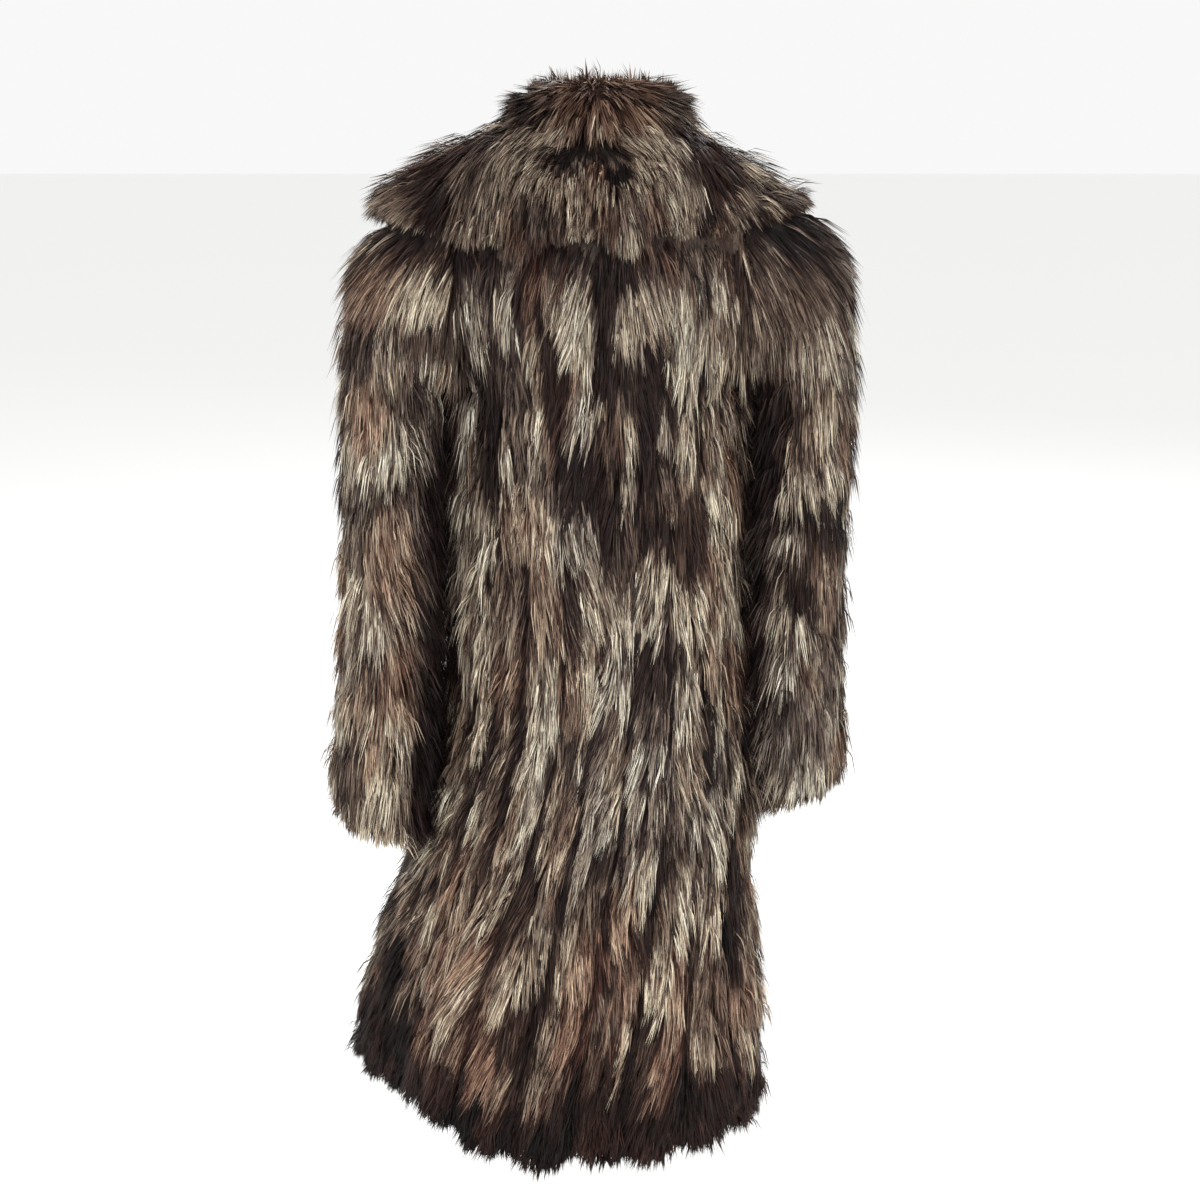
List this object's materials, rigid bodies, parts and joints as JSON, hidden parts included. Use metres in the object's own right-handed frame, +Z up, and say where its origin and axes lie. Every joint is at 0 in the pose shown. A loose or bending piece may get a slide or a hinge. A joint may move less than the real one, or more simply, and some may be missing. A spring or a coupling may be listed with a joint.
{
  "type": "long fur coat",
  "caption": "Long patchwork fur coat with a wide folded collar, straight sleeves and a flared skirt, in its worn, hollow form with open neck, cuffs and hem.",
  "frame": {"origin": "middle of the neck opening, where the coat hangs on the wearer's neck and shoulders", "axes": "+Z up along the coat's length, front facing -Y, the wearer's left at +X"},
  "size_m": [0.6041, 0.4271, 1.2188],
  "materials": {
    "body_fur": "long brown, cream and tan fur in strips of overlapping locks",
    "sleeve_fur": "long brown and tan fur in upright strips of locks",
    "collar_fur": "long shaggy dark brown and grey fur combed down from the roll"
  },
  "bodies": {
    "root": {"yoke_back": "body_fur", "yoke_left": "body_fur", "yoke_right": "body_fur", "back": "body_fur", "front_left": "body_fur", "front_right": "body_fur", "sleeve_left": "sleeve_fur", "sleeve_right": "sleeve_fur", "collar": "collar_fur"}
  },
  "joints": []
}
